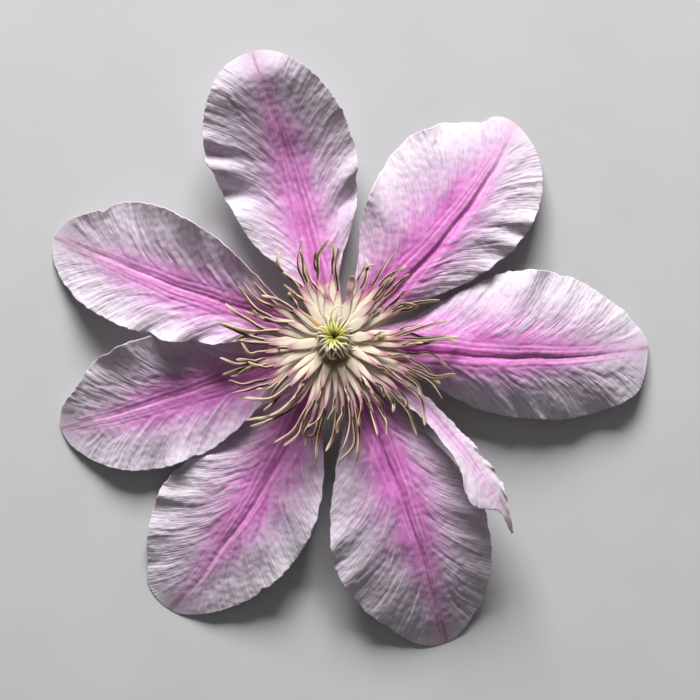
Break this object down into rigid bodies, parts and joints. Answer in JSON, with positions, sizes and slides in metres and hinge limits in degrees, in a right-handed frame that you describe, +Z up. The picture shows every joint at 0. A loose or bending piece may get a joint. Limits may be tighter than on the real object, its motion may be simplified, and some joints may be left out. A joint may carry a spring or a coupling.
{
  "type": "clematis flower",
  "caption": "Large-flowered clematis bloom with pink-barred ruffled sepals, a boss of curling stamens and a tuft of styles, lying face up.",
  "frame": {"origin": "middle of the flower's bounding box, on the surface it lies on", "axes": "+Z up, the way the face of the flower looks; +Y towards the broad upper sepal; +X to the right of it"},
  "size_m": [0.1502, 0.1488, 0.0218],
  "materials": {
    "sepal": "matte",
    "stamen": "matte",
    "pistil": "satin",
    "receptacle": "matte"
  },
  "bodies": {
    "root": {"receptacle": "receptacle", "sepal_1": "sepal", "sepal_2": "sepal", "sepal_3": "sepal", "sepal_4": "sepal", "sepal_5": "sepal", "sepal_6": "sepal", "sepal_7": "sepal", "sepal_8": "sepal", "stamen_01": "stamen", "stamen_02": "stamen", "stamen_03": "stamen", "stamen_04": "stamen", "stamen_05": "stamen", "stamen_06": "stamen", "stamen_07": "stamen", "stamen_08": "stamen", "stamen_09": "stamen", "stamen_10": "stamen", "stamen_11": "stamen", "stamen_12": "stamen", "stamen_13": "stamen", "stamen_14": "stamen", "stamen_15": "stamen", "stamen_16": "stamen", "stamen_17": "stamen", "stamen_18": "stamen", "stamen_19": "stamen", "stamen_20": "stamen", "stamen_21": "stamen", "stamen_22": "stamen", "stamen_23": "stamen", "stamen_24": "stamen", "stamen_25": "stamen", "stamen_26": "stamen", "stamen_27": "stamen", "stamen_28": "stamen", "stamen_29": "stamen", "stamen_30": "stamen", "stamen_31": "stamen", "stamen_32": "stamen", "stamen_33": "stamen", "stamen_34": "stamen", "stamen_35": "stamen", "stamen_36": "stamen", "stamen_37": "stamen", "stamen_38": "stamen", "stamen_39": "stamen", "stamen_40": "stamen", "stamen_41": "stamen", "stamen_42": "stamen", "stamen_43": "stamen", "stamen_44": "stamen", "stamen_45": "stamen", "stamen_46": "stamen", "stamen_47": "stamen", "stamen_48": "stamen", "stamen_49": "stamen", "stamen_50": "stamen", "pistils": "pistil"}
  },
  "joints": []
}
